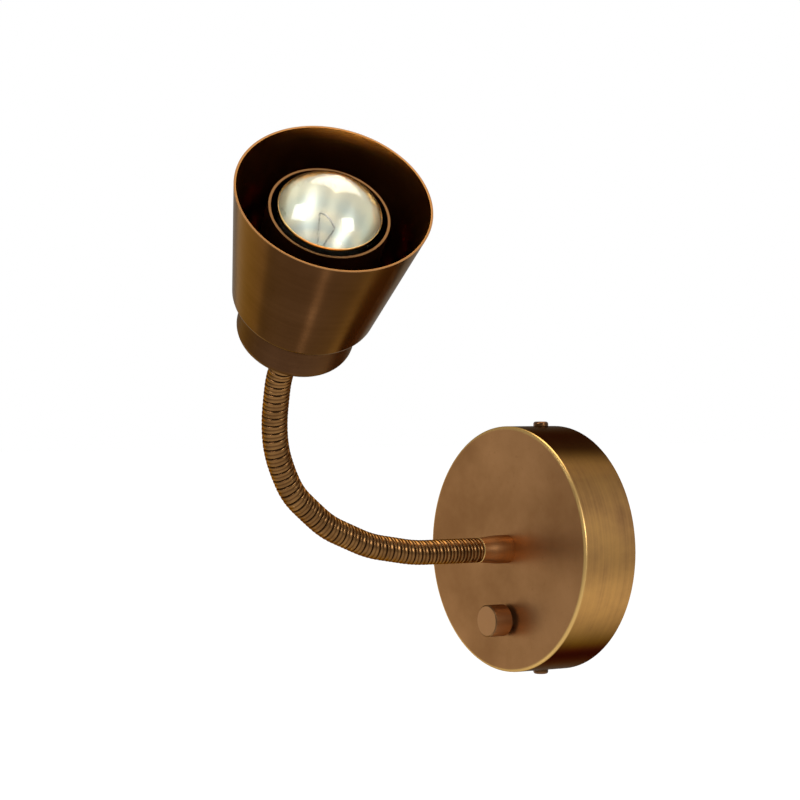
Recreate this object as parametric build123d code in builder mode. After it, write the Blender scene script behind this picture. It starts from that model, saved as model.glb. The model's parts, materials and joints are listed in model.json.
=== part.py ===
from build123d import *
from math import cos, radians, sin, sqrt, tan
import os

# Bedside wall reading lamp: a round rose on the wall, a flexible arm and a conical shade.
# Millimetres. The wall is the plane Y = 0, the lamp stands out from it along -Y, +Z is up.
# The origin is the centre of the rose at the wall.

# ---- Rose -------------------------------------------------------------------------------
ROSE_R = 65.0
ROSE_DEPTH = 34.0
ROSE_WALL = 1.2
ROSE_EDGE_R = 1.5
SIDE_SCREW_Y = 10.0  # from the wall to the axis of the screws in the rose's side

# ---- Wall bracket -----------------------------------------------------------------------
STRAP_WIDTH = 22.0
STRAP_THICK = 2.0
TAB_OUTER_Z = 62.4
TAB_DEPTH = 17.0
HUB_R = 20.0
SLOT_SPACING = 60.0
SLOT_LENGTH = 20.0
SLOT_R = 2.3
CABLE_HOLE_R = 8.0
BUSH_BORE_R = 6.0
LUG_REACH = 42.0
LUG_WIDTH = 26.0
EARTH_X = 15.5  # the earth screw's threaded hole
BUSH_FLANGE = 1.5
BUSH_FLANGE_H = 1.6

# ---- Gaps between pieces ----------------------------------------------------------------
THREAD_GAP = 0.05
SLIP_GAP = 0.1
HOLE_GAP = 0.2

# ---- Screws -----------------------------------------------------------------------------
M4_R = 2.0
M4_HEAD_R = 4.0
M4_HEAD_H = 2.4
M4_LENGTH = 9.0
EARTH_HEAD_R = 3.6
EARTH_HEAD_H = 2.2

# ---- Terminal block ---------------------------------------------------------------------
BLOCK_X = -31.0
BLOCK_SIZE = (18.0, 15.0, 28.0)  # along X, Y and Z
BLOCK_WAYS = 3
BLOCK_PITCH = 9.0
BLOCK_CORNER_R = 1.0
BARREL_R = 2.9
BARREL_BORE_R = 1.8
BARREL_INSET = 2.0  # how far the barrels end inside the block
CLAMP_SCREW_R = 1.5
CLAMP_HOLE_R = 2.2
CLAMP_SCREW_X = 4.5  # from the middle of the block
CLAMP_SCREW_LIFT = 0.6  # from the barrel's axis to the screw's tip
CLAMP_SCREW_LENGTH = 5.4
CLAMP_SLOT_WIDTH = 0.6
CLAMP_SLOT_DEPTH = 1.0

# ---- Earth tag: an eye, a neck and a crimped barrel below it ----------------------------
TAG_H = 0.8
TAG_EYE_R = 3.8
TAG_NECK_WIDTH = 2.6
TAG_NECK_LENGTH = 7.0
TAG_NECK_Z = -5.5
TAG_BARREL_Z = -9.0
TAG_BARREL_LENGTH = 3.5
TAG_BARREL_WALL = 0.7

# ---- Collar and hollow nipples (M10 x 1) ------------------------------------------------
COLLAR_LENGTH = 19.0
COLLAR_BACK_R = 7.5
COLLAR_FRONT_R = 6.6
COLLAR_STRAIGHT = 4.0
COLLAR_BELLY = 11.5  # where the collar starts to narrow towards the arm
COLLAR_BELLY_IN = 0.45
COLLAR_THREAD = 9.0
COLLAR_EDGE = 0.3
NIPPLE_R = 5.0
NIPPLE_BORE_R = 3.3
ARM_NIPPLE_BACK = 10.0
ARM_NIPPLE_FRONT = 8.5
HEAD_NIPPLE_BELOW = 3.9
HEAD_NIPPLE_ABOVE = 8.4
LOCKNUT_FLATS = 14.0
LOCKNUT_H = 2.6
WASHER_R = 8.0
WASHER_H = 0.8

# ---- Flexible arm -----------------------------------------------------------------------
# The arm is a row of short ribbed stretches, hinged at the grooves between them.
STRETCHES = 16
STRETCH = 13.8  # length of one stretch, three turns of the wound wire
ARM_R = 6.5
GROOVE_R = 5.5
ARM_BORE_R = 2.8
BEND_MAX = 24.0  # degrees at one hinge, either way from straight
HINGE_GAP = 0.3
BALL_R = 4.3
BALL_NOSE = 2.0  # how far the ball reaches past its centre
GROOVE = 1.0
RIB_EDGE = 0.4
SPIGOT = 6.0
END_BORE = 4.0  # depth of the last stretch's threaded end
BORE_FLARE = 0.5
# How the arm is bent in the photograph, hinge by hinge from the rose, in degrees.
# Odd hinges bend up (+) or down (-), even hinges to +X (+) or -X (-).
BENDS = (0, -3, 9, 0, 13, 2, 16, 6, 21, 12, 14, 11, 3, 18, -9)

# ---- Lamp cable -------------------------------------------------------------------------
CABLE_R = 2.1
CABLE_TURN_R = 14.0
CABLE_TO_HOLDER = 9.5  # from the cup's underside to the cable's end
WIRE_R = 0.9

# ---- Dimmer and knob --------------------------------------------------------------------
KNOB_Z = -37.5
KNOB_R = 8.4
KNOB_LENGTH = 11.0
KNOB_GAP = 2.0  # between the rose and the knob
MODULE_SIZE = (32.0, 28.0, 15.0)  # along X, Z and Y
MODULE_CORNER_R = 1.5
MODULE_EDGE_R = 1.0
MODULE_GAP = 0.5  # the washer between the module and the rose
BUSH_R = 3.5
BUSH_BACK = 3.0
BUSH_FRONT = 3.0
DIMMER_WASHER_R = 6.0
DIMMER_NUT_FLATS = 10.0
DIMMER_NUT_H = 1.7
SHAFT_R = 3.0
SHAFT_BACK = 2.8
SHAFT_FLAT = 2.2
SHAFT_FLAT_START = 3.5
SHAFT_GAP = 0.02
KNOB_FRONT_EDGE = 0.5
KNOB_BACK_EDGE = 0.3
KNOB_RECESS_R = 4.7
KNOB_RECESS = 3.0
KNOB_BORE = 5.6  # length of the flatted part of the knob's bore

# ---- Head: cup and shade ----------------------------------------------------------------
HEAD_LENGTH = 95.5  # underside of the cup to the plane of the shade's mouth
CUP_R = 28.6
CUP_LENGTH = 85.5
CUP_WALL = 1.2
CUP_CORNER_R = 5.0
SHADE_MOUTH_R = 46.5
SHADE_BASE_R = 34.7
SHADE_BASE_Z = 26.5  # up from the underside of the cup
SHADE_FOOT_Z = 22.7
SHADE_SLEEVE_Z = 31.0
SHADE_WALL = 1.0
BRAZE_GAP = 0.15
SLEEVE_WALL = 0.9
SHADE_FOOT_MIDDLE = (32.9, 23.8)  # radius and way along of the middle of the foot's outer arc
SHADE_FOOT_INNER = (32.2, 24.7)
SHADE_FOOT_INNER_Z = 24.0

# ---- Lampholder (E14) and reflector bulb (50 mm) ----------------------------------------
HOLDER_R = 14.0
HOLDER_BASE_Z = 5.0
HOLDER_TOP_Z = 40.0
HOLDER_SEAM_Z = 14.0  # where the sleeve sits on the base
HOLDER_FLOOR_Z = 8.0
HOLDER_SPIGOT_R = 11.0
SLEEVE_R = 12.4
SLEEVE_BORE_R = 7.8
SLEEVE_MOUTH_R = 9.2
SLEEVE_FLOOR_Z = 12.0
SHELL_R = 7.7
SHELL_BORE_R = 7.1
SHELL_LOW_Z = 17.0
SHELL_HIGH_Z = 35.0
CONTACT_WIDTH = 4.0
BULB_R = 24.8
BULB_LENGTH = 85.0
BULB_WIDEST_Z = 86.7
DOME_HEIGHT = 14.0
GLASS = 0.8
SILVER = 0.25
CAP_R = 6.9
CAP_TOP_R = 8.3
CAP_WALL = 0.4
NECK_FLOOR_Z = 36.2
NECK_R = 6.2
NECK_POINTS = ((8.2, 42.5), (8.6, 46.5), (10.2, 51.0), (13.2, 55.5))  # radius, way along
BOWL_POINT = (21.6, 70.0)
REFLECTOR_LOW_Z = 52.0
STEM_FOOT_Z = 37.1
STEM_FOOT_R = 4.5
STEM_R = 1.8
STEM_WAIST_Z = 42.0
STEM_TOP = 60.0
FILAMENT_Z = 80.0
FILAMENT_R = 0.45
FILAMENT_RISE = 2.4
LEAD_SPREAD = 5.5
LEAD_R = 0.3

parts = {}


def keep(name, part):
    """Label a finished piece and note it for writing."""
    part.label = name
    parts[name] = part


def half_plane(plane):
    """The plane for turned profiles: first coordinate is the radius, second the way along."""
    return Plane(plane.origin, x_dir=plane.x_dir, z_dir=-plane.y_dir)


def turned(plane, *points):
    """A body of revolution about the plane's normal, from (radius, way along) points."""
    with BuildPart() as piece:
        with BuildSketch(half_plane(plane)):
            with BuildLine():
                Polyline(*points, close=True)
            make_face()
        revolve(axis=Axis(plane.origin, plane.z_dir))
    return piece.part


def tube(plane, outer, inner, start, end):
    """A plain tube along the plane's normal."""
    return turned(plane, (inner, start), (outer, start), (outer, end), (inner, end))


def nut(plane, flats, bore, start, height):
    """A hexagon nut with chamfered corners."""
    with BuildPart() as piece:
        with BuildSketch(plane.offset(start)):
            RegularPolygon(flats / 2, 6, major_radius=False)
            Circle(bore, mode=Mode.SUBTRACT)
        extrude(amount=height)
        with BuildSketch(plane.offset(start)):
            Circle(flats / 2 + 0.5)
        extrude(amount=height, mode=Mode.INTERSECT)
    return piece.part


def pan_screw(plane, shank_r, head_r, head_h, length):
    """A cross-slot pan-head screw: the plane is its seat, the shank runs against the normal."""
    with BuildPart() as screw:
        with BuildSketch(plane):
            Circle(head_r)
        extrude(amount=head_h)
        fillet(screw.edges().group_by(Axis(plane.origin, plane.z_dir))[-1], radius=head_h * 0.55)
        with BuildSketch(plane):
            Circle(shank_r)
        extrude(amount=-length)
        with BuildSketch(plane.offset(head_h)):
            Rectangle(head_r * 1.15, head_r * 0.22)
            Rectangle(head_r * 0.22, head_r * 1.15)
        extrude(amount=-head_h * 0.6, mode=Mode.SUBTRACT)
    return screw.part


def wire(radius, points, radii):
    """A round wire through the points, with an arc at each corner."""
    with BuildPart() as piece:
        with BuildLine() as path:
            FilletPolyline(*points, radius=radii)
        with BuildSketch(Plane(path.line @ 0, z_dir=path.line % 0)):
            Circle(radius)
        sweep()
    return piece.part


wall = Plane.XZ  # looks out from the wall: its normal is -Y, its y is up


# ==== Rose cover =========================================================================
with BuildPart() as rose_cover:
    with BuildSketch(wall):
        Circle(ROSE_R)
    extrude(amount=ROSE_DEPTH)
    fillet(rose_cover.edges().sort_by(Axis.Y)[0], radius=ROSE_EDGE_R)
    offset(amount=-ROSE_WALL, openings=rose_cover.faces().sort_by(Axis.Y)[-1])
    with BuildSketch(wall.offset(ROSE_DEPTH)):
        Circle(NIPPLE_R + HOLE_GAP)
        with Locations((0, KNOB_Z)):
            Circle(BUSH_R + SLIP_GAP)
    extrude(amount=-2 * ROSE_WALL, mode=Mode.SUBTRACT)
    with BuildSketch(Plane.XY.offset(-ROSE_R - 1)):
        with Locations((0, -SIDE_SCREW_Y)):
            Circle(M4_R + HOLE_GAP)
    extrude(amount=2 * ROSE_R + 2, mode=Mode.SUBTRACT)
keep("rose_cover", rose_cover.part)


# ==== Wall bracket =======================================================================
with BuildPart() as wall_bracket:
    with BuildSketch(wall):
        Rectangle(STRAP_WIDTH, 2 * TAB_OUTER_Z)
        Circle(HUB_R)
        with Locations((-LUG_REACH / 2, 0)):
            Rectangle(LUG_REACH, LUG_WIDTH)
        Circle(CABLE_HOLE_R, mode=Mode.SUBTRACT)
        with Locations((0, SLOT_SPACING / 2), (0, -SLOT_SPACING / 2)):
            SlotOverall(SLOT_LENGTH, 2 * SLOT_R, rotation=90, mode=Mode.SUBTRACT)
        with Locations((EARTH_X, 0)):
            Circle(M4_R + THREAD_GAP, mode=Mode.SUBTRACT)
    extrude(amount=STRAP_THICK)
    with BuildSketch(wall):
        with Locations((0, TAB_OUTER_Z - STRAP_THICK / 2), (0, STRAP_THICK / 2 - TAB_OUTER_Z)):
            Rectangle(STRAP_WIDTH, STRAP_THICK)
    extrude(amount=TAB_DEPTH)
    with BuildSketch(Plane.XY.offset(-TAB_OUTER_Z - 1)):
        with Locations((0, -SIDE_SCREW_Y)):
            Circle(M4_R + THREAD_GAP)
    extrude(amount=2 * TAB_OUTER_Z + 2, mode=Mode.SUBTRACT)
keep("wall_bracket", wall_bracket.part)

# Two screws hold the rose to the bracket's tabs, one above and one below.
seat_y = -SIDE_SCREW_Y
side_screws = [
    pan_screw(Plane((0, seat_y, side * ROSE_R), x_dir=(1, 0, 0), z_dir=(0, 0, side)),
              M4_R, M4_HEAD_R, M4_HEAD_H, M4_LENGTH)
    for side in (1, -1)
]
keep("cover_screws", Compound(side_screws))

# A snap-in bush lines the hole through which the house wiring comes.
bush_r = CABLE_HOLE_R - THREAD_GAP
flange_r = CABLE_HOLE_R + BUSH_FLANGE
bush_front = STRAP_THICK + BUSH_FLANGE_H
keep("cable_bush", turned(wall, (BUSH_BORE_R, 0), (bush_r, 0), (bush_r, STRAP_THICK),
                          (flange_r, STRAP_THICK), (flange_r, STRAP_THICK + 1.0),
                          (BUSH_BORE_R + 1.0, bush_front), (BUSH_BORE_R, bush_front)))


# ==== Terminal block =====================================================================
block_x, block_y, block_z = BLOCK_SIZE
block_front = STRAP_THICK + block_y
ways = [(way - (BLOCK_WAYS - 1) / 2) * BLOCK_PITCH for way in range(BLOCK_WAYS)]
barrel_y = -(STRAP_THICK + block_y / 2)
across = Plane((BLOCK_X - block_x / 2, barrel_y, 0), x_dir=(0, 1, 0), z_dir=(1, 0, 0))
clamp_spots = [(BLOCK_X + dx, z) for z in ways for dx in (-CLAMP_SCREW_X, CLAMP_SCREW_X)]

with BuildPart() as terminal_block:
    with BuildSketch(wall.offset(STRAP_THICK)):
        with Locations((BLOCK_X, 0)):
            RectangleRounded(block_x, block_z, BLOCK_CORNER_R)
    extrude(amount=block_y)
    with BuildSketch(across):
        with Locations(*[(0, z) for z in ways]):
            Circle(BARREL_R)
    extrude(amount=block_x, mode=Mode.SUBTRACT)
    with BuildSketch(wall.offset(block_front)):
        with Locations(*clamp_spots):
            Circle(CLAMP_HOLE_R)
    extrude(amount=-block_y / 2, mode=Mode.SUBTRACT)
keep("terminal_block", terminal_block.part)

with BuildPart() as terminal_barrels:
    with BuildSketch(across.offset(BARREL_INSET)):
        with Locations(*[(0, z) for z in ways]):
            Circle(BARREL_R - THREAD_GAP)
            Circle(BARREL_BORE_R, mode=Mode.SUBTRACT)
    extrude(amount=block_x - 2 * BARREL_INSET)
    with BuildSketch(wall.offset(STRAP_THICK + block_y / 2)):
        with Locations(*clamp_spots):
            Circle(CLAMP_SCREW_R + THREAD_GAP)
    extrude(amount=BARREL_R, mode=Mode.SUBTRACT)
keep("terminal_barrels", terminal_barrels.part)

clamp_tip = STRAP_THICK + block_y / 2 + CLAMP_SCREW_LIFT
with BuildPart() as terminal_screws:
    with BuildSketch(wall.offset(clamp_tip)):
        with Locations(*clamp_spots):
            Circle(CLAMP_SCREW_R)
    extrude(amount=CLAMP_SCREW_LENGTH)
    with BuildSketch(wall.offset(clamp_tip + CLAMP_SCREW_LENGTH)):
        with Locations(*clamp_spots):
            Rectangle(2 * CLAMP_SCREW_R, CLAMP_SLOT_WIDTH)
    extrude(amount=-CLAMP_SLOT_DEPTH, mode=Mode.SUBTRACT)
keep("terminal_screws", terminal_screws.part)


# ==== Earth connection on the bracket ====================================================
earth_plane = Plane((EARTH_X, -STRAP_THICK - TAG_H, 0), x_dir=(1, 0, 0), z_dir=(0, -1, 0))
keep("earth_screw", pan_screw(earth_plane, M4_R, EARTH_HEAD_R, EARTH_HEAD_H, STRAP_THICK + TAG_H))
earth_wire_y = -STRAP_THICK - TAG_H - WIRE_R - HOLE_GAP

with BuildPart() as earth_tag:
    with BuildSketch(wall.offset(STRAP_THICK)):
        with Locations((EARTH_X, 0)):
            Circle(TAG_EYE_R)
        with Locations((EARTH_X, TAG_NECK_Z)):
            Rectangle(TAG_NECK_WIDTH, TAG_NECK_LENGTH)
        with Locations((EARTH_X, 0)):
            Circle(M4_R + SLIP_GAP, mode=Mode.SUBTRACT)
    extrude(amount=TAG_H)
    with BuildSketch(Plane.XY.offset(TAG_BARREL_Z)):
        with Locations((EARTH_X, earth_wire_y)):
            Circle(WIRE_R + TAG_BARREL_WALL)
            Circle(WIRE_R + THREAD_GAP, mode=Mode.SUBTRACT)
    extrude(amount=TAG_BARREL_LENGTH)
keep("earth_tag", earth_tag.part)


# ==== Collar and the nipple that holds the arm to the rose ===============================
front = wall.offset(ROSE_DEPTH)
keep("arm_nipple", tube(front, NIPPLE_R, NIPPLE_BORE_R, -ARM_NIPPLE_BACK, ARM_NIPPLE_FRONT))
keep("arm_lock_washer", tube(front, WASHER_R, NIPPLE_R + SLIP_GAP, -ROSE_WALL - WASHER_H, -ROSE_WALL))
keep("arm_locknut", nut(front, LOCKNUT_FLATS, NIPPLE_R + THREAD_GAP,
                        -ROSE_WALL - WASHER_H - LOCKNUT_H, LOCKNUT_H))

with BuildPart() as arm_collar:
    with BuildSketch(half_plane(front)):
        with BuildLine():
            back = Line((NIPPLE_R + THREAD_GAP, 0), (COLLAR_BACK_R, 0))
            side = Line(back @ 1, (COLLAR_BACK_R, COLLAR_STRAIGHT))
            belly = TangentArc(side @ 1, (COLLAR_BACK_R - COLLAR_BELLY_IN, COLLAR_BELLY), tangent=side % 1)
            throat = TangentArc((COLLAR_FRONT_R, COLLAR_LENGTH - COLLAR_EDGE), belly @ 1,
                                tangent=(0, -1))
            Polyline(throat @ 0, (COLLAR_FRONT_R - COLLAR_EDGE, COLLAR_LENGTH),
                     (NIPPLE_R + SLIP_GAP, COLLAR_LENGTH),
                     (NIPPLE_R + SLIP_GAP, COLLAR_LENGTH - SPIGOT), (NIPPLE_BORE_R, COLLAR_LENGTH - SPIGOT),
                     (NIPPLE_BORE_R, COLLAR_THREAD), (NIPPLE_R + THREAD_GAP, COLLAR_THREAD), back @ 0)
        make_face()
    revolve(axis=Axis(front.origin, front.z_dir))
keep("arm_collar", arm_collar.part)


# ==== Flexible arm =======================================================================
def bent(plane, hinge):
    """The plane past a hinge: turned up or down at odd hinges, sideways at even ones."""
    bend = BENDS[hinge - 1]
    turn = Rotation(-bend, 0, 0) if hinge % 2 else Rotation(0, bend, 0)
    return Plane(plane.location * turn)


stretch_planes = []  # one at the start of each stretch, normal along the arm
plane = wall.offset(ROSE_DEPTH + COLLAR_LENGTH)
for number in range(1, STRETCHES + 1):
    if number > 1:
        plane = bent(plane.offset(STRETCH), number - 1)
    stretch_planes.append(plane)
head = plane.offset(STRETCH)  # its origin is the middle of the cup's underside


def lip(radius):
    """How far a stretch stays back from its hinge at this radius, so that it can bend."""
    return HINGE_GAP / 2 + radius * tan(radians(BEND_MAX / 2))


def rib_circles(start, end):
    """Three ribs between two ends, each as four (way along, radius) circles."""
    third = (STRETCH - 2 * GROOVE) / 3
    circles = []
    for rib in range(3):
        low = rib * (third + GROOVE)
        high = low + third
        ring = [(low, GROOVE_R), (low + RIB_EDGE, ARM_R), (high - RIB_EDGE, ARM_R), (high, GROOVE_R)]
        if rib == 0:
            ring[:2] = start
        if rib == 2:
            ring[2:] = end
        circles += ring
    return circles


def arm_stretch(plane, fixed_start, fixed_end):
    """One stretch: a bored, ribbed barrel with a socket at its start and a ball at its end."""
    start = [(lip(BALL_R), BALL_R), (lip(ARM_R), ARM_R)]
    end = [(STRETCH - lip(ARM_R), ARM_R), (STRETCH - lip(BALL_R), BALL_R)]
    if fixed_start:
        start = [(SLIP_GAP, NIPPLE_R), (SLIP_GAP + RIB_EDGE, ARM_R)]
    if fixed_end:
        end = [(STRETCH - RIB_EDGE, ARM_R), (STRETCH, ARM_R - RIB_EDGE)]
    ball = plane.offset(STRETCH)
    with BuildPart() as stretch:
        for way, radius in rib_circles(start, end):
            with BuildSketch(plane.offset(way)):
                Circle(radius)
        loft(ruled=True)
        if fixed_start:
            with BuildSketch(plane.offset(-SPIGOT)):
                Circle(NIPPLE_R)
            extrude(amount=SPIGOT + 1)
        else:
            with Locations(plane):
                Sphere(BALL_R + HINGE_GAP, mode=Mode.SUBTRACT)
        if not fixed_end:
            with BuildSketch(half_plane(ball)):
                with BuildLine():
                    nose = sqrt(BALL_R**2 - BALL_NOSE**2)
                    rear = -0.8 * BALL_R
                    root = sqrt(BALL_R**2 - rear**2)
                    ThreePointArc((nose, BALL_NOSE), (BALL_R, 0), (root, rear))
                    Polyline((root, rear), (0, rear), (0, BALL_NOSE), (nose, BALL_NOSE))
                make_face()
            revolve(axis=Axis(ball.origin, ball.z_dir))
        with BuildSketch(plane.offset(-SPIGOT)):
            Circle(ARM_BORE_R)
        extrude(amount=STRETCH + 2 * SPIGOT, mode=Mode.SUBTRACT)
        if not fixed_end:
            with BuildSketch(ball.offset(-BALL_NOSE)):
                Circle(ARM_BORE_R)
            with BuildSketch(ball.offset(BALL_NOSE)):
                Circle(ARM_BORE_R + BORE_FLARE)
            loft(mode=Mode.SUBTRACT)
        else:
            with BuildSketch(ball):
                Circle(NIPPLE_R + THREAD_GAP)
            extrude(amount=-END_BORE, mode=Mode.SUBTRACT)
    return stretch.part


for number, plane in enumerate(stretch_planes, start=1):
    keep(f"arm_stretch_{number:02d}", arm_stretch(plane, number == 1, number == STRETCHES))


# ==== Dimmer, its shaft and the knob =====================================================
knob_axis = Plane((0, -ROSE_DEPTH, KNOB_Z), x_dir=(1, 0, 0), z_dir=(0, -1, 0))
module_x, module_z, module_y = MODULE_SIZE
module_front = -ROSE_WALL - MODULE_GAP

with BuildPart() as dimmer_module:
    with BuildSketch(knob_axis.offset(module_front)):
        RectangleRounded(module_x, module_z, MODULE_CORNER_R)
    extrude(amount=-module_y)
    fillet(dimmer_module.faces().sort_by(Axis.Y)[-1].edges(), radius=MODULE_EDGE_R)
    with BuildSketch(knob_axis.offset(module_front)):
        Circle(BUSH_R + THREAD_GAP)
    extrude(amount=-BUSH_BACK, mode=Mode.SUBTRACT)
keep("dimmer_module", dimmer_module.part)
keep("dimmer_bush", tube(knob_axis, BUSH_R, SHAFT_R + SLIP_GAP, module_front - BUSH_BACK, BUSH_FRONT))
keep("dimmer_washer", tube(knob_axis, DIMMER_WASHER_R, BUSH_R + SLIP_GAP, module_front, -ROSE_WALL))
keep("dimmer_nut", nut(knob_axis, DIMMER_NUT_FLATS, BUSH_R + THREAD_GAP, 0, DIMMER_NUT_H))

with BuildPart() as dimmer_shaft:
    with BuildSketch(knob_axis.offset(module_front - SHAFT_BACK)):
        Circle(SHAFT_R)
    extrude(amount=SHAFT_BACK - module_front + KNOB_GAP + KNOB_LENGTH - 2)
    with BuildSketch(knob_axis.offset(KNOB_GAP + SHAFT_FLAT_START)):
        with Locations((0, SHAFT_FLAT + SHAFT_R / 2)):
            Rectangle(2 * SHAFT_R, SHAFT_R)
    extrude(amount=KNOB_LENGTH, mode=Mode.SUBTRACT)
keep("dimmer_shaft", dimmer_shaft.part)

with BuildPart() as control_knob:
    with BuildSketch(knob_axis.offset(KNOB_GAP)):
        Circle(KNOB_R)
    extrude(amount=KNOB_LENGTH)
    chamfer(control_knob.edges().sort_by(Axis.Y)[0], length=KNOB_FRONT_EDGE)
    chamfer(control_knob.edges().sort_by(Axis.Y)[-1], length=KNOB_BACK_EDGE)
    with BuildSketch(knob_axis.offset(KNOB_GAP)):
        Circle(KNOB_RECESS_R)
    extrude(amount=KNOB_RECESS, mode=Mode.SUBTRACT)
    with BuildSketch(knob_axis.offset(KNOB_GAP + KNOB_RECESS)):
        Circle(SHAFT_R + SHAFT_GAP)
    extrude(amount=SHAFT_FLAT_START - KNOB_RECESS, mode=Mode.SUBTRACT)
    with BuildSketch(knob_axis.offset(KNOB_GAP + SHAFT_FLAT_START)):
        Circle(SHAFT_R + SHAFT_GAP)
        with Locations((0, SHAFT_FLAT + SHAFT_GAP + SHAFT_R / 2)):
            Rectangle(3 * SHAFT_R, SHAFT_R, mode=Mode.SUBTRACT)
    extrude(amount=KNOB_BORE, mode=Mode.SUBTRACT)
keep("control_knob", control_knob.part)


# ==== Cup and shade ======================================================================
with BuildPart() as lamp_cup:
    with BuildSketch(head):
        Circle(CUP_R)
    extrude(amount=CUP_LENGTH)
    bottom_edge = lamp_cup.edges().sort_by(Axis(head.origin, head.z_dir))[0]
    fillet(bottom_edge, radius=CUP_CORNER_R)
    offset(amount=-CUP_WALL, openings=lamp_cup.faces().sort_by(Axis(head.origin, head.z_dir))[-1])
    with BuildSketch(head):
        Circle(NIPPLE_R + HOLE_GAP)
    extrude(amount=2 * CUP_WALL, mode=Mode.SUBTRACT)
keep("lamp_cup", lamp_cup.part)

sleeve_r = CUP_R + BRAZE_GAP
with BuildPart() as shade:
    with BuildSketch(half_plane(head)):
        with BuildLine():
            Polyline((sleeve_r, SHADE_SLEEVE_Z), (sleeve_r, SHADE_FOOT_Z))
            foot = ThreePointArc((sleeve_r, SHADE_FOOT_Z), SHADE_FOOT_MIDDLE, (SHADE_BASE_R, SHADE_BASE_Z))
            inner_base = (SHADE_BASE_R - SHADE_WALL, SHADE_BASE_Z + 0.3)
            Polyline(foot @ 1, (SHADE_MOUTH_R, HEAD_LENGTH), (SHADE_MOUTH_R - SHADE_WALL, HEAD_LENGTH),
                     inner_base)
            inner = ThreePointArc(inner_base, SHADE_FOOT_INNER, (sleeve_r + SLEEVE_WALL, SHADE_FOOT_INNER_Z))
            Polyline(inner @ 1, (sleeve_r + SLEEVE_WALL, SHADE_SLEEVE_Z), (sleeve_r, SHADE_SLEEVE_Z))
        make_face()
    revolve(axis=Axis(head.origin, head.z_dir))
keep("shade", shade.part)


# ==== Nipple and nut at the head, lampholder =============================================
keep("head_nipple", tube(head, NIPPLE_R, NIPPLE_BORE_R, -HEAD_NIPPLE_BELOW, HEAD_NIPPLE_ABOVE))
keep("head_lock_washer", tube(head, WASHER_R, NIPPLE_R + SLIP_GAP, CUP_WALL, CUP_WALL + WASHER_H))
keep("head_locknut", nut(head, LOCKNUT_FLATS, NIPPLE_R + THREAD_GAP, CUP_WALL + WASHER_H, LOCKNUT_H))

keep("lampholder_base", turned(head, (NIPPLE_R + THREAD_GAP, HOLDER_BASE_Z), (HOLDER_R, HOLDER_BASE_Z),
                               (HOLDER_R, HOLDER_SEAM_Z), (HOLDER_SPIGOT_R, HOLDER_SEAM_Z),
                               (HOLDER_SPIGOT_R, HOLDER_FLOOR_Z), (NIPPLE_R + THREAD_GAP, HOLDER_FLOOR_Z)))
spigot_r = HOLDER_SPIGOT_R - SLIP_GAP
seam = HOLDER_SEAM_Z + SLIP_GAP
with BuildPart() as lampholder_sleeve:
    with BuildSketch(half_plane(head)):
        with BuildLine():
            Polyline((0, SLEEVE_FLOOR_Z), (spigot_r, SLEEVE_FLOOR_Z), (spigot_r, seam), (HOLDER_R, seam),
                     (HOLDER_R, 16), (SLEEVE_R, 18), (SLEEVE_R, HOLDER_TOP_Z),
                     (SLEEVE_R - 0.8, HOLDER_TOP_Z + 0.8), (SLEEVE_MOUTH_R, HOLDER_TOP_Z + 0.8),
                     (SLEEVE_MOUTH_R, HOLDER_TOP_Z - 3), (SLEEVE_BORE_R, HOLDER_TOP_Z - 4),
                     (SLEEVE_BORE_R, HOLDER_SEAM_Z), (0, HOLDER_SEAM_Z), close=True)
        make_face()
    revolve(axis=Axis(head.origin, head.z_dir))
    with BuildSketch(head.offset(SLEEVE_FLOOR_Z)):
        with Locations((4, 0)):
            Rectangle(3.2, CONTACT_WIDTH + 2 * SLIP_GAP)
    extrude(amount=3, mode=Mode.SUBTRACT)
keep("lampholder_sleeve", lampholder_sleeve.part)
keep("lampholder_shell", tube(head, SHELL_R, SHELL_BORE_R, SHELL_LOW_Z, SHELL_HIGH_Z))

with BuildPart() as lampholder_contact:
    with BuildSketch(half_plane(head)):
        with BuildLine():
            Polyline((4.4, 10.5), (4.4, 14.2), (-2.6, 15.6), (-2.6, 15.2), (4.0, 13.85), (4.0, 10.5),
                     close=True)
        make_face()
    extrude(amount=CONTACT_WIDTH / 2, both=True)
keep("lampholder_contact", lampholder_contact.part)


# ==== Reflector bulb =====================================================================
def bulb_face(inset):
    """Half section of the bulb's glass, drawn in by the inset on every side."""
    radius = BULB_R - inset
    dome = DOME_HEIGHT - inset
    dome_r = (radius**2 + dome**2) / (2 * dome)
    rise = dome_r * (1 - cos(radians(25)))
    chord = dome_r * sin(radians(25))
    top = BULB_WIDEST_Z + dome
    floor = NECK_FLOOR_Z + inset
    shoulder, neck_start, neck_middle, neck_end = [(r - inset, way) for r, way in NECK_POINTS]
    with BuildSketch() as face:
        with BuildLine():
            Polyline((0, floor), (NECK_R - inset, floor), (NECK_R - inset, 39.5), shoulder, neck_start)
            neck = ThreePointArc(neck_start, neck_middle, neck_end)
            bowl = ThreePointArc(neck @ 1, (BOWL_POINT[0] - inset, BOWL_POINT[1]), (radius, BULB_WIDEST_Z))
            ThreePointArc(bowl @ 1, (chord, top - rise), (0, top))
            Line((0, top), (0, floor))
        make_face()
    return face.sketch


def bulb_shell(outer, inner, low=0, high=HEAD_LENGTH * 2):
    """A shell of the bulb between two insets, kept between two heights."""
    with BuildPart() as piece:
        with BuildSketch(half_plane(head)):
            add(bulb_face(outer))
            add(bulb_face(inner), mode=Mode.SUBTRACT)
            with Locations((0, (low + high) / 2)):
                Rectangle(4 * BULB_R, high - low, mode=Mode.INTERSECT)
        revolve(axis=Axis(head.origin, head.z_dir))
    return piece.part


keep("bulb_glass", bulb_shell(0, GLASS))
silver_in = GLASS + THREAD_GAP
keep("bulb_reflector", bulb_shell(silver_in, silver_in + SILVER, REFLECTOR_LOW_Z, BULB_WIDEST_Z))

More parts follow.
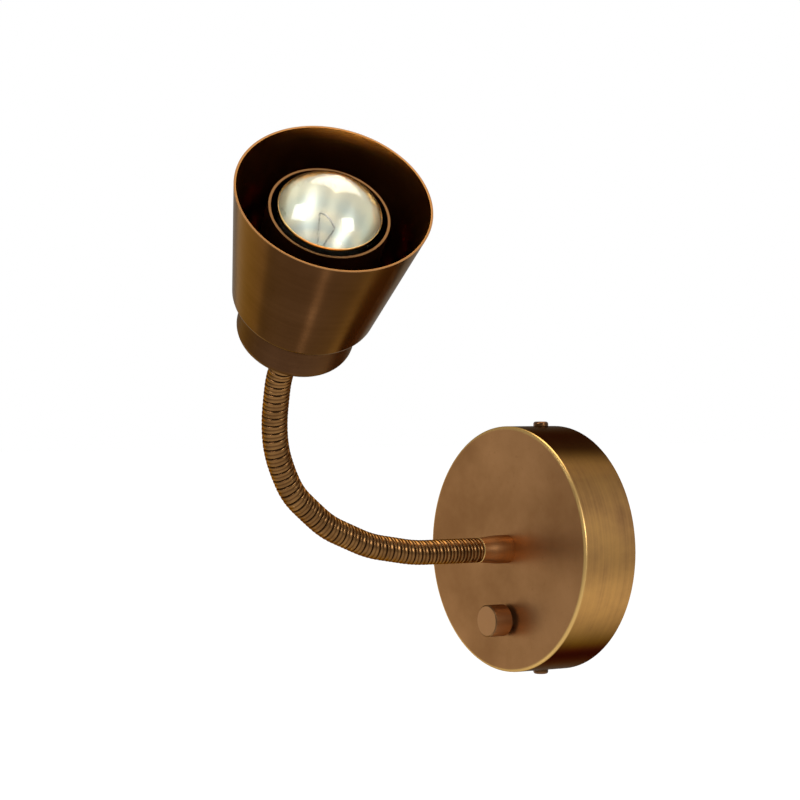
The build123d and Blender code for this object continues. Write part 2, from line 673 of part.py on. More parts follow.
tip = BULB_WIDEST_Z + DOME_HEIGHT - BULB_LENGTH
keep("bulb_contact", turned(head, (0, tip), (1.6, tip), (2.4, tip + 0.8), (0, tip + 0.8)))
keep("bulb_insulator", turned(head, (0, tip + 0.8), (2.4, tip + 0.8), (5.4, tip + 2.8), (5.4, tip + 4),
                              (0, tip + 4)))
keep("bulb_cap", turned(head, (5.45, tip + 2.9), (CAP_R, tip + 4.4), (CAP_R, 38), (CAP_TOP_R, 39.6),
                        (CAP_TOP_R + 0.3, 42.4), (CAP_TOP_R, 42.4), (CAP_TOP_R - CAP_WALL, 40),
                        (CAP_R - CAP_WALL, 38.4), (CAP_R - CAP_WALL, tip + 4.7), (5.45, tip + 4.2)))
keep("bulb_stem", turned(head, (0, STEM_FOOT_Z), (STEM_FOOT_R, STEM_FOOT_Z), (STEM_R, STEM_WAIST_Z),
                         (STEM_R, STEM_TOP), (0, STEM_TOP)))

leads = half_plane(head)
with BuildPart() as bulb_leads:
    for side in (1, -1):
        foot_point = leads.from_local_coords((side * 1.0, STEM_TOP, 0))
        knee = leads.from_local_coords((side * 1.6, STEM_TOP + 4, 0))
        hook = leads.from_local_coords((side * LEAD_SPREAD, FILAMENT_Z - 0.5, 0))
        with BuildLine() as path:
            Polyline(foot_point, knee, hook)
        with BuildSketch(Plane(path.line @ 0, z_dir=path.line % 0)):
            Circle(LEAD_R)
        sweep(path=path.line, transition=Transition.ROUND)
keep("bulb_leads", bulb_leads.part)

with BuildPart() as bulb_filament:
    with BuildLine(leads) as arc:
        ThreePointArc((-LEAD_SPREAD, FILAMENT_Z), (0, FILAMENT_Z + FILAMENT_RISE), (LEAD_SPREAD, FILAMENT_Z))
    with BuildSketch(Plane(arc.line @ 0, z_dir=arc.line % 0)):
        Circle(FILAMENT_R)
    sweep(path=arc.line)
keep("bulb_filament", bulb_filament.part)


# ==== Wiring =============================================================================
# The lamp's cable runs whole from the terminal block through the arm to the lampholder.
cable_points = [Vector(BLOCK_X + block_x / 2, barrel_y, 0), Vector(0, barrel_y, 0)]
cable_turns = [CABLE_TURN_R]
for hinge, plane in enumerate(stretch_planes[1:], start=1):
    if BENDS[hinge - 1]:
        cable_points.append(Vector(plane.origin))
        cable_turns.append(0.45 * STRETCH / tan(radians(abs(BENDS[hinge - 1]) / 2)))
cable_points.append(head.offset(CABLE_TO_HOLDER).origin)
keep("arm_cable", wire(CABLE_R, cable_points, cable_turns))

earth_path = [(BLOCK_X + block_x / 2, barrel_y, -BLOCK_PITCH), (-12, barrel_y, -11),
              (4, earth_wire_y - 1, -20), (EARTH_X, earth_wire_y, -18), (EARTH_X, earth_wire_y, -6)]
keep("earth_wire", wire(WIRE_R, earth_path, [6, 8, 5]))

module_back = -ROSE_DEPTH - module_front + module_y
lead_wires = [
    wire(WIRE_R, [(x, module_back, KNOB_Z + 8), (x, module_back + 7, KNOB_Z + 8),
                  (x - 5, module_back + 8, KNOB_Z + 12), (end_x, barrel_y, -22),
                  (end_x, barrel_y, -block_z / 2)], [3, 4, 4])
    for x, end_x in ((-9, -28), (-13, -34))
]
keep("dimmer_leads", Compound(lead_wires))

os.makedirs("parts", exist_ok=True)
for name, part in parts.items():
    export_step(part, f"parts/{name}.step")
print(len(parts), "pieces")
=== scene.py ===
import json
from math import asin, atan2, cos, exp, pi, radians, sin, tan

import bmesh
import bpy
from mathutils import Matrix, Vector

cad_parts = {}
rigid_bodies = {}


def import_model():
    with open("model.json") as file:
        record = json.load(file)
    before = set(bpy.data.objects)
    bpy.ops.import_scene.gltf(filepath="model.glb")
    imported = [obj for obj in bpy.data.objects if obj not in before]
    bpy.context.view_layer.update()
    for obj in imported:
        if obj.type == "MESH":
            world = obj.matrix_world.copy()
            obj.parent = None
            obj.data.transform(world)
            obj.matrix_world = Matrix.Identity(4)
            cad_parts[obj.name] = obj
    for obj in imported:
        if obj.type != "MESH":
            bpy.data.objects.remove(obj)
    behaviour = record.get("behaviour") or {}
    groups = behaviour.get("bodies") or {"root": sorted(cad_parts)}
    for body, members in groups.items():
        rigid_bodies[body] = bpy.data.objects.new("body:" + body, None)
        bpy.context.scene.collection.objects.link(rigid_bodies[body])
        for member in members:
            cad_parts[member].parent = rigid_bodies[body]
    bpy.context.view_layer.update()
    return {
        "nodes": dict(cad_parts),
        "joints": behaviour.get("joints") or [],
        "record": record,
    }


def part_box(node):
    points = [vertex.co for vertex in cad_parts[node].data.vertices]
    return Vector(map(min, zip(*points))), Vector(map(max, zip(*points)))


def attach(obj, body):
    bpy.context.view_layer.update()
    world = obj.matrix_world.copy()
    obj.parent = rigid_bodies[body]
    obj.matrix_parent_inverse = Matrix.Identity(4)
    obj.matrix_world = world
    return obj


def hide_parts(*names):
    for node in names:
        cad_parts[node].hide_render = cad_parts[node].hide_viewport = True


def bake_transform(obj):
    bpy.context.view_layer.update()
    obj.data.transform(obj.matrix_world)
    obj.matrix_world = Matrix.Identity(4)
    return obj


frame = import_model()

bl_info = {
    "name": "Bedside wall reading lamp",
    "version": (1, 0, 0),
    "blender": (4, 5, 0),
    "location": "3D View > Sidebar > Lamp",
    "description": "Winds the lamp's flexible arm, blows its bulb, finishes its parts and lights it",
    "category": "Object",
}

MM = 0.001
HINGES = [joint for joint in frame["joints"] if joint["name"].startswith("arm_bend")]
SLOT_OF = {part["node"]: part["material_slot"] for part in frame["record"]["subparts"]}


# ---- Places read from the frame ---------------------------------------------------------
def middle(node):
    """The centre of a CAD node's box."""
    low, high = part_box(node)
    return (low + high) / 2


HINGE_POINTS = [Vector(joint["pos_m"]) for joint in HINGES]
STRETCH = (HINGE_POINTS[1] - HINGE_POINTS[0]).length
HEAD_AXIS = (middle("lampholder_shell") - middle("head_lock_washer")).normalized()
ARM_START = Vector((0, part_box("arm_collar")[0].y, 0))
ARM_END = HINGE_POINTS[-1] + HEAD_AXIS * STRETCH
ROSE_FRONT_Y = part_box("rose_cover")[0].y
ROSE_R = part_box("rose_cover")[1].x
KNOB_CENTRE = middle("control_knob")
WALL_OUT = Vector((0, -1, 0))


def reach(node):
    """How far a node goes along the head's axis, and its widest radius, from the arm's end."""
    corners = [v.co - ARM_END for v in frame["nodes"][node].data.vertices]
    ways = [corner.dot(HEAD_AXIS) for corner in corners]
    radii = [(corner - HEAD_AXIS * way).length for corner, way in zip(corners, ways)]
    return max(ways), max(radii)


SHADE_LENGTH, SHADE_MOUTH_R = reach("shade")
SHADE_SLOPE = 11.8 / 69.0  # how fast the shade widens along its axis
SHADE_WARM = 66 * MM  # how far in from the mouth the inside has its own colour
CUP_LENGTH, CUP_R = reach("lamp_cup")
SILVER_FRONT = reach("bulb_reflector")[0]
KNOB_R = (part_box("control_knob")[1].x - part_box("control_knob")[0].x) / 2
KNOB_FRONT = -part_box("control_knob")[0].y
COLLAR_FRONT_R = 6.4 * MM

# ---- The winding's outline over one turn ------------------------------------------------
PROFILE_STEPS = 16
ARM_STEPS = 32  # round its axis
GROOVE_SHARE = 0.055  # half width of the groove, as a share of a turn
VALLEY_SHARE = 0.13  # the same of the shallow dip
SPARE_TURNS = 2  # wound past each end, and cut off with the tube
CROWN = 0.06  # how far the ridges rise past their flanks, as a share of the groove's depth

# ---- The cable's way --------------------------------------------------------------------
CABLE_STEP = 1.5 * MM  # between the rings of its mesh
CABLE_STEPS = 20  # round its axis
CABLE_TURN_R = 14 * MM  # its turn from the terminal block into the arm
CABLE_TO_HOLDER = 9.5  # from the arm's end to the cable's end, in millimetres
CABLE_TRIM = 0.01 * MM  # cut off each end, so that the cut is clean
STRAIGHT = 1e-4  # a smaller angle counts as no bend

# ---- The bulb's outline -----------------------------------------------------------------
# In millimetres, as (radius, way along the head's axis from the arm's end).
BULB_FLOOR = 36.2
NECK_R = 6.2
NECK_TOP = 39.5
SHOULDER = (8.2, 42.5)
THROAT = ((8.6, 46.5), (10.2, 51), (13.2, 55.5))
BOWL = (21.6, 70)
WIDEST = (24.8, 86.7)
DOME = 14.0
SILVER_INSET = 0.86
SILVER_RANGE = (52, 86.75)
GLASS_WALL = 0.8 * MM
SILVER_WALL = 0.2 * MM
THROAT_STEPS = 12
BOWL_STEPS = 28
BULB_STEPS = 96  # round the axis


# ---- Settings ---------------------------------------------------------------------------
class LampArmSettings(bpy.types.PropertyGroup):
    """Sizes of the arm's winding and of the cable in it."""

    radius: bpy.props.FloatProperty(
        name="Arm radius", description="Radius over the winding's ridges",
        default=6.5 * MM, subtype="DISTANCE")
    bore: bpy.props.FloatProperty(
        name="Bore radius", description="Radius of the channel for the cable",
        default=2.8 * MM, subtype="DISTANCE")
    turns: bpy.props.IntProperty(
        name="Turns", description="Turns of the winding along the arm", default=50)
    groove: bpy.props.FloatProperty(
        name="Groove depth", description="Depth of the groove between two turns",
        default=1.1 * MM, subtype="DISTANCE")
    valley: bpy.props.FloatProperty(
        name="Valley depth", description="Depth of the shallow dip along each turn",
        default=0.12 * MM, subtype="DISTANCE")
    cable: bpy.props.FloatProperty(
        name="Cable radius", description="Radius of the cable inside the arm",
        default=2.1 * MM, subtype="DISTANCE")


class LampFinishSettings(bpy.types.PropertyGroup):
    """Colours of the lamp's finishes."""

    brass_light: bpy.props.FloatVectorProperty(
        name="Rubbed brass", description="Brass where the patina is rubbed thin",
        default=(0.44, 0.230, 0.100), size=3, subtype="COLOR")
    brass_dark: bpy.props.FloatVectorProperty(
        name="Aged brass", description="Brass under its full patina",
        default=(0.275, 0.135, 0.056), size=3, subtype="COLOR")
    brass_edge: bpy.props.FloatVectorProperty(
        name="Edges", description="Brass along the edges of the knob, the shade and the cup",
        default=(0.14, 0.075, 0.032), size=3, subtype="COLOR")
    # Partly brass rubbed bright and partly a painted highlight along the rose's rounded front edge; the
    # collar's front ring uses it too.
    rose_edge_wear_and_highlight: bpy.props.FloatVectorProperty(
        name="Rose edge", description="The rose's front edge, rubbed to yellow brass",
        default=(0.66, 0.42, 0.15), size=3, subtype="COLOR")
    # Partly the side's own brass and partly a painted highlight that makes the rose's side lighter at
    # mid height.
    rose_side_and_sheen: bpy.props.FloatVectorProperty(
        name="Rose side", description="The rose's side, polished at mid height",
        default=(0.66, 0.36, 0.110), size=3, subtype="COLOR")
    # Painted shade: this colour darkens the rose's side towards its top and bottom.
    rose_painted_shade: bpy.props.FloatVectorProperty(
        name="Rose tarnish", description="The rose's side, tarnished at its top and bottom",
        default=(0.028, 0.018, 0.011), size=3, subtype="COLOR")
    collar: bpy.props.FloatVectorProperty(
        name="Collar", description="The collar's orange brass",
        default=(0.62, 0.30, 0.11), size=3, subtype="COLOR")
    knob: bpy.props.FloatVectorProperty(
        name="Knob", description="The knob's lighter brass",
        default=(0.44, 0.235, 0.115), size=3, subtype="COLOR")
    screw: bpy.props.FloatVectorProperty(
        name="Side screws", description="The dark brass of the screws in the rose's side",
        default=(0.16, 0.075, 0.030), size=3, subtype="COLOR")
    shade_dark: bpy.props.FloatVectorProperty(
        name="Shade brown", description="The shade's darkest patina",
        default=(0.054, 0.023, 0.010), size=3, subtype="COLOR")
    shade_light: bpy.props.FloatVectorProperty(
        name="Shade rubbed", description="The shade where its patina is rubbed thin",
        default=(0.098, 0.046, 0.021), size=3, subtype="COLOR")
    shade_inside: bpy.props.FloatVectorProperty(
        name="Shade inside", description="The warm brown inside the shade",
        default=(0.60, 0.26, 0.060), size=3, subtype="COLOR")
    arm_ridge: bpy.props.FloatVectorProperty(
        name="Arm ridge", description="The arm's bronze on its ridges",
        default=(0.265, 0.137, 0.049), size=3, subtype="COLOR")
    arm_valley: bpy.props.FloatVectorProperty(
        name="Arm valley", description="The arm's bronze in its shallow dips",
        default=(0.095, 0.042, 0.015), size=3, subtype="COLOR")


class LampStageSettings(bpy.types.PropertyGroup):
    """The camera and the floor."""

    camera_azimuth: bpy.props.FloatProperty(
        name="Camera azimuth", description="Turn of the camera from straight ahead",
        default=radians(53.6), subtype="ANGLE")
    camera_place: bpy.props.FloatVectorProperty(
        name="Camera place", description="Where the camera stands",
        default=(1117.1 * MM, -927.1 * MM, 78.9 * MM), size=3, subtype="TRANSLATION")
    lens: bpy.props.FloatProperty(
        name="Lens", description="Focal length in millimetres on a 36 mm sensor", default=121.5)
    floor_drop: bpy.props.FloatProperty(
        name="Floor drop", description="How far below the rose's centre the floor lies",
        default=0.60, subtype="DISTANCE")


# ---- Shader helpers ---------------------------------------------------------------------
class Field:
    """A number that changes over a surface. Arithmetic on it adds Math nodes."""

    def __init__(self, nodes, socket):
        self.nodes = nodes
        self.socket = socket

    def math(self, operation, first, second):
        return self.nodes.node("ShaderNodeMath", {0: first, 1: second}, operation=operation)

    def __add__(self, other):
        return self.math("ADD", self, other)

    def __radd__(self, other):
        return self.math("ADD", other, self)

    def __sub__(self, other):
        return self.math("SUBTRACT", self, other)

    def __rsub__(self, other):
        return self.math("SUBTRACT", other, self)

    def __mul__(self, other):
        return self.math("MULTIPLY", self, other)

    def __rmul__(self, other):
        return self.math("MULTIPLY", other, self)

    def __pow__(self, other):
        return self.math("POWER", self, other)


class Nodes:
    """The nodes of a finish or of the world."""

    def __init__(self, tree):
        self.tree = tree

    def own(self, name, **constants):
        """The shader that the tree started with, given its constants."""
        started = self.tree.nodes[name]
        for socket, value in constants.items():
            started.inputs[socket.replace("_", " ")].default_value = value
        return Field(self, started.outputs[0])

    def show(self, shader, output):
        """Link a shader to the tree's output node."""
        self.tree.links.new(shader.socket, self.tree.nodes[output].inputs["Surface"])

    def node(self, kind, sockets=None, out=0, **settings):
        """Add a node: its settings, then its sockets' values or links."""
        made = self.tree.nodes.new(kind)
        for name, value in settings.items():
            setattr(made, name, value)
        for key, value in (sockets or {}).items():
            if isinstance(value, Field):
                self.tree.links.new(value.socket, made.inputs[key])
            else:
                made.inputs[key].default_value = value
        return Field(self, made.outputs[out])


class Finish(Nodes):
    """A material and its nodes."""

    def __init__(self, name, **constants):
        self.material = bpy.data.materials.new(name)
        self.material.use_nodes = True
        super().__init__(self.material.node_tree)
        self.shader = self.own("Principled BSDF", **constants)

    def feed(self, socket, field):
        """Link a field to the Principled shader."""
        self.tree.links.new(field.socket, self.shader.socket.node.inputs[socket])

    def mix(self, factor, first, second):
        """A colour between two colours."""
        colours = {6: first, 7: second}
        ready = {key: c if isinstance(c, Field) else (*c, 1) for key, c in colours.items()}
        return self.node("ShaderNodeMix", {0: factor, **ready}, out=2, data_type="RGBA")

    def local(self, origin, direction):
        """Object coordinates in a frame whose origin and Z direction are given."""
        turn = Vector(direction).to_track_quat("Z", "Y").to_euler()
        coordinates = self.node("ShaderNodeTexCoord", out=3)
        return self.node("ShaderNodeMapping", {"Vector": coordinates, "Location": origin,
                                               "Rotation": turn}, vector_type="TEXTURE")

    def stretched(self, vector, scale):
        """A vector with its three parts scaled."""
        return self.node("ShaderNodeVectorMath", {0: vector, 1: scale}, operation="MULTIPLY")

    def parts(self, vector):
        """The X, Y and Z of a vector."""
        split = self.node("ShaderNodeSeparateXYZ", {0: vector})
        outputs = split.socket.node.outputs
        return [Field(self, outputs[axis]) for axis in range(3)]

    def root(self, field):
        """The square root of a field."""
        return self.node("ShaderNodeMath", {0: field}, operation="SQRT")

    def noise(self, vector, scale, detail=3.0, roughness=0.55):
        """Noise from 0 to 1."""
        return self.node("ShaderNodeTexNoise", {"Vector": vector, "Scale": scale, "Detail": detail,
                                                "Roughness": roughness})

    def smooth(self, field, low, high):
        """0 below low, 1 above high, and a smooth rise between them."""
        return self.node("ShaderNodeMapRange", {"Value": field, "From Min": low, "From Max": high},
                         interpolation_type="SMOOTHSTEP")

    def rings(self, vector, scale, distortion, detail_scale):
        """Rings about the vector's Z, from 0 to 1."""
        return self.node("ShaderNodeTexWave", {"Vector": vector, "Scale": scale,
                                               "Distortion": distortion, "Detail": 1.0,
                                               "Detail Scale": detail_scale},
                         out=1, wave_type="RINGS", rings_direction="Z")

    def bump(self, height, distance, strength):
        """Raise the surface by a height field, at most by the distance."""
        normal = self.node("ShaderNodeBump", {"Height": height, "Distance": distance,
                                              "Strength": strength})
        self.feed("Normal", normal)


# ---- Finishes ---------------------------------------------------------------------------
EDGE_BROWN = (0.44, 0.33, 0.22)  # tints of what brass reflects at a flat angle
EDGE_PALE = (0.76, 0.60, 0.45)
EDGE_BRONZE = (0.55, 0.37, 0.22)
# Painted shade, nearly black, for the arm's deep grooves
GROOVE_SHADE = (0.006, 0.004, 0.003)
# Painted highlight: the gold line along the front edge of the bulb's mirror
GOLD_GLINT = (0.85, 0.55, 0.20)
FINE_BRUSHING = (30, 30, 3000)  # noise scale across and along the turned axis
BROAD_BRUSHING = (12, 12, 700)
BRUSH_HEIGHT = 0.02 * MM


def aged_brass(name, origin, direction, light, dark, roughness=0.34, calm=1.0, edge=EDGE_BROWN,
               wavy=0.0, worn=(), inside=None, flank=None):
    """Brushed brass under a brown patina, turned about an axis.

    calm softens the patina's clouds, edge tints what the metal reflects at a flat angle, and wavy
    is the depth of its dents against the brushing.
    worn lists (radius, way along, width, colour): within the width of that circle, the metal is
    rubbed to the colour; along the rose's front edge that colour is also a painted highlight.
    inside is (radius, slope, foot, colour): nearer the axis than radius + slope * way along, and
    beyond the foot, the metal has that colour.
    flank is (radius, light, dark, height): beyond the radius the colour goes from light at the
    middle to dark at that height, a painted highlight at the middle and painted shade towards the
    top and bottom.
    """
    finish = Finish(name, Metallic=1.0, Specular_Tint=(*edge, 1))
    place = finish.local(origin, direction)
    across, up, along = finish.parts(place)
    distance = finish.root(across * across + up * up)
    brushed = finish.noise(finish.stretched(place, FINE_BRUSHING), 1.0, detail=2.0)
    broad = finish.noise(finish.stretched(place, BROAD_BRUSHING), 1.0, detail=2.0)
    clouds = finish.noise(place, 17.0, detail=5.0, roughness=0.6)
    specks = finish.noise(place, 380.0, detail=2.0)
    rubbed = finish.smooth(clouds * 0.8 + broad * 0.2, 0.5 - 0.20 * calm, 0.5 + 0.20 * calm)
    colour = finish.mix(rubbed, dark, light)
    colour = finish.mix(finish.smooth(specks, 0.60, 0.78) * 0.30, colour, dark)
    colour = finish.mix(finish.smooth(brushed, 0.45, 0.75) * 0.22, colour, dark)
    if inside:
        radius, slope, foot, warm = inside
        within = finish.smooth(radius + slope * along - distance, 0.0, 0.2 * MM)
        within = within * finish.smooth(along, foot, foot + 1 * MM)
        colour = finish.mix(within, colour, warm)
    # Painted highlight at the middle of the side and painted shade towards its top and bottom.
    if flank:
        radius, gold, painted_shade_colour, height = flank
        rise = finish.parts(finish.local((0, 0, 0), (0, 0, 1)))[2]
        outer = finish.smooth(distance, radius, radius + 0.3 * MM)
        low = finish.smooth(rise * rise, (0.25 * height) ** 2, height ** 2)
        shaded = finish.mix(low, finish.mix(rubbed, colour, gold), painted_shade_colour)
        colour = finish.mix(outer, colour, shaded)
    for radius, way, width, bright in worn:
        off = finish.root((distance - radius) ** 2 + (along - way) ** 2)
        uneven = width * (0.75 + 0.5 * clouds)
        colour = finish.mix(finish.smooth(uneven - off, 0.0, width * 0.7), colour, bright)
    finish.feed("Base Color", colour)
    finish.feed("Roughness", (roughness - 0.06) + 0.08 * brushed + 0.08 * (1 - rubbed))
    dents = finish.noise(place, 45.0, detail=1.0)
    finish.bump(brushed + wavy * dents, BRUSH_HEIGHT, 0.5)
    return finish.material


def arm_bronze(name, settings):
    """Dark bronze, brighter on the ridges, with painted shade nearly black in the grooves."""
    finish = Finish(name, Metallic=1.0, Specular_Tint=(*EDGE_BRONZE, 1))
    coordinates = finish.node("ShaderNodeTexCoord", out=3)
    depth = finish.node("ShaderNodeAttribute", out=2, attribute_name="depth")
    clouds = finish.noise(coordinates, 90.0)
    ridge = finish.mix(finish.smooth(clouds, 0.35, 0.65) * 0.5, settings.arm_ridge, settings.arm_valley)
    dip = finish.mix(finish.smooth(depth, 0.05, 0.20), ridge, settings.arm_valley)
    # Painted shade: the deep grooves go nearly black.
    finish.feed("Base Color", finish.mix(finish.smooth(depth, 0.35, 0.8), dip, GROOVE_SHADE))
    finish.feed("Roughness", 0.22 + 0.3 * finish.smooth(depth, 0.2, 0.8) + 0.1 * clouds)
    finish.bump(finish.noise(coordinates, 900.0), BRUSH_HEIGHT, 0.4)
    return finish.material


def plain_metal(name, colour, roughness):
    """A plain machined metal with faint streaks."""
    finish = Finish(name, Metallic=1.0)
    coordinates = finish.node("ShaderNodeTexCoord", out=3)
    streaks = finish.noise(coordinates, 500.0, detail=4.0)
    dull = [part * 0.7 for part in colour]
    finish.feed("Base Color", finish.mix(finish.smooth(streaks, 0.3, 0.7), dull, colour))
    finish.feed("Roughness", roughness + 0.12 * streaks)
    finish.bump(streaks, BRUSH_HEIGHT, 0.4)
    return finish.material


def moulded(name, colour, roughness):
    """Moulded plastic or rubber with a fine grain."""
    finish = Finish(name)
    coordinates = finish.node("ShaderNodeTexCoord", out=3)
    grain = finish.noise(coordinates, 1500.0, detail=3.0)
    dull = [part * 0.82 for part in colour]
    finish.feed("Base Color", finish.mix(finish.noise(coordinates, 60.0), dull, colour))
    finish.feed("Roughness", roughness + 0.15 * (grain - 0.5))
    finish.bump(grain, 0.03 * MM, 0.5)
    return finish.material


def clear_glass(name):
    """The bulb's clear glass, with the faint rings that its moulding leaves."""
    finish = Finish(name, Roughness=0.01, IOR=1.5, Transmission_Weight=1.0)
    place = finish.local(ARM_END, HEAD_AXIS)
    haze = finish.noise(place, 45.0)
    finish.feed("Base Color", finish.mix(haze, (0.95, 0.985, 0.985), (1.0, 1.0, 1.0)))
    finish.bump(finish.rings(place, 55.0, 1.2, 30.0), 0.06 * MM, 0.5)
    return finish.material


def silvering(name, rim_from):
    """The mirror inside the bulb, with cream rings that are a painted reflection and a gold line at its
    front edge that is a painted highlight.
    """
    finish = Finish(name, Metallic=1.0)
    place = finish.local(ARM_END, HEAD_AXIS)
    along = finish.parts(place)[2]
    cloudy = finish.noise(place, 70.0)
    rings = finish.rings(place, 60.0, 1.5, 20.0)
    # Painted reflection: cream rings mixed into the mirror's own silver.
    silver = finish.mix(0.7 * rings + 0.3 * cloudy, (0.62, 0.68, 0.66), (0.95, 0.88, 0.74))
    # Painted highlight: the gold line along the mirror's front edge.
    gold = finish.smooth(along, rim_from, rim_from + 0.4 * MM)
    finish.feed("Base Color", finish.mix(gold, silver, GOLD_GLINT))
    finish.feed("Roughness", 0.22 + 0.14 * cloudy)
    finish.bump(rings, 0.1 * MM, 0.6)
    return finish.material


def dress(node, material):
    """Give a CAD node its finish."""
    slots = frame["nodes"][node].data.materials
    slots.clear()
    slots.append(material)


class LAMP_OT_finishes(bpy.types.Operator):
    """Give every CAD part its finish"""

    bl_idname = "lamp.finishes"
    bl_label = "Finish the parts"

    def execute(self, context):
        tone = context.scene.lamp_finishes
        light, dark, edge = tone.brass_light, tone.brass_dark, tone.brass_edge
        by_slot = {
            "aged_brass": aged_brass("aged_brass", (0, 0, 0), WALL_OUT, light, dark),
            "arm_bronze": plain_metal("arm_metal", tone.arm_ridge, 0.3),
            "zinc_steel": plain_metal("zinc_steel", (0.62, 0.63, 0.66), 0.28),
            "plain_brass": plain_metal("plain_brass", (0.78, 0.56, 0.22), 0.25),
            "white_plastic": moulded("white_plastic", (0.84, 0.83, 0.78), 0.45),
            "black_plastic": moulded("black_plastic", (0.035, 0.034, 0.033), 0.42),
            "cable_sheath": moulded("cable_sheath", (0.045, 0.043, 0.04), 0.55),
            "lead_brown": moulded("lead_brown", (0.20, 0.09, 0.04), 0.4),
            "lead_green": moulded("lead_green", (0.16, 0.42, 0.06), 0.4),
            "bulb_clear": clear_glass("bulb_clear"),
            "bulb_silver": silvering("bulb_silver", SILVER_FRONT - 1.2 * MM),
            "bulb_cap_metal": plain_metal("bulb_cap_metal", (0.72, 0.70, 0.64), 0.22),
            "bulb_black_glass": moulded("bulb_black_glass", (0.02, 0.02, 0.025), 0.12),
            "bulb_wire": plain_metal("bulb_wire", (0.50, 0.48, 0.45), 0.3),
        }
        for node, slot in SLOT_OF.items():
            dress(node, by_slot[slot])
        # The middle of the shade's wall, carried down its slope to the arm's end.
        wall = SHADE_MOUTH_R - SHADE_SLOPE * SHADE_LENGTH - 0.5 * MM
        cone = (wall, SHADE_SLOPE, SHADE_LENGTH - SHADE_WARM, tone.shade_inside)
        # Rubbed brass and a painted highlight along the rose's front edge.
        rose_edge_wear_and_highlight = (ROSE_R - 0.5 * MM, -ROSE_FRONT_Y - 0.5 * MM, 1.5 * MM, tone.rose_edge_wear_and_highlight)
        # The rose's side: painted highlight at mid height, painted shade at top and bottom.
        rose_side = (ROSE_R - 0.6 * MM, tone.rose_side_and_sheen, tone.rose_painted_shade, 0.84 * ROSE_R)
        knob_edge = (KNOB_R, KNOB_FRONT, 0.9 * MM, edge)
        collar_edge = (COLLAR_FRONT_R, -ARM_START.y, 0.6 * MM, tone.rose_edge_wear_and_highlight)
        shade_edge = (SHADE_MOUTH_R - 0.5 * MM, SHADE_LENGTH, 0.8 * MM, edge)
        cup_edge = (CUP_R - 0.6 * MM, CUP_LENGTH, 0.9 * MM, edge)
        dress("rose_cover", aged_brass("rose_brass", (0, 0, 0), WALL_OUT, light, dark,
                                       worn=[rose_edge_wear_and_highlight], flank=rose_side))
        dress("cover_screws", plain_metal("screw_brass", tone.screw, 0.22))
        dress("arm_collar", aged_brass("collar_brass", (0, 0, 0), WALL_OUT, tone.collar, light,
                                       worn=[collar_edge]))
        dress("control_knob", aged_brass("knob_brass", (0, 0, KNOB_CENTRE.z), WALL_OUT, tone.knob, light,
                                         worn=[knob_edge]))
        dress("shade", aged_brass("shade_brass", ARM_END, HEAD_AXIS, tone.shade_light, tone.shade_dark,
                                  roughness=0.20, calm=1.5, edge=EDGE_PALE, wavy=14.0, worn=[shade_edge],
                                  inside=cone))
        dress("lamp_cup", aged_brass("cup_brass", ARM_END, HEAD_AXIS, tone.shade_light, tone.shade_dark,
                                     edge=EDGE_PALE, worn=[cup_edge]))
        return {"FINISHED"}


# ---- Flexible arm -----------------------------------------------------------------------
def route():
    """The line of the cable and the arm: (point, direction, length to the next point)."""
    leave = Vector((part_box("terminal_block")[1].x, middle("terminal_barrels").y, 0))
    across = Vector((1, 0, 0))
    bend_in = Vector((-CABLE_TURN_R, leave.y, 0))
    bend_out = Vector((0, leave.y - CABLE_TURN_R, 0))
    points = [(leave, across, (bend_in - leave).length),
              (bend_in, across, CABLE_TURN_R * pi / 2),
              (bend_out, WALL_OUT, (ARM_START - bend_out).length),
              (ARM_START, WALL_OUT, STRETCH / 2)]
    ends = [ARM_START, *HINGE_POINTS, ARM_END]
    ways = [(after - before).normalized() for before, after in zip(ends, ends[1:])]
    for number, (before, after) in enumerate(zip(ends, ends[1:])):
        halfway = (before + after) / 2
        length = STRETCH / 2
        if number + 1 < len(ways):
            angle = ways[number].angle(ways[number + 1], 0.0)
            length = STRETCH if angle < STRAIGHT else STRETCH / 2 / tan(angle / 2) * angle
        points.append((halfway, ways[number], length))
    points.append((ARM_END, HEAD_AXIS, CABLE_TO_HOLDER * MM))
    points.append((ARM_END + HEAD_AXIS * CABLE_TO_HOLDER * MM, HEAD_AXIS, 0.0))
    return points


def handle_length(points, number, length):
    """Handle length of a curve's piece that turns evenly from one point to the next."""
    if number < 0 or number + 1 >= len(points):
        return length / 3
    angle = points[number][1].angle(points[number + 1][1], 0.0)
    if angle < STRAIGHT:
        return length / 3
    return 4 / 3 * tan(angle / 4) * length / angle


def route_curve(points):
    """The route as one smooth curve of arcs."""
    bpy.ops.curve.primitive_bezier_curve_add()
    curve = bpy.context.object
    curve.data.resolution_u = 24
    spline = curve.data.splines[0]
    spline.bezier_points.add(len(points) - len(spline.bezier_points))
    for number, (place, way, length) in enumerate(points):
        point = spline.bezier_points[number]
        point.handle_left_type = "FREE"
        point.handle_right_type = "FREE"
        point.co = place
        before = points[number - 1][2] if number else length
        point.handle_left = place - way * handle_length(points, number - 1, before)
        point.handle_right = place + way * handle_length(points, number, length)
    return curve


def only(obj):
    """Select one object and make it active."""
    bpy.ops.object.select_all(action="DESELECT")
    obj.select_set(True)
    bpy.context.view_layer.objects.active = obj


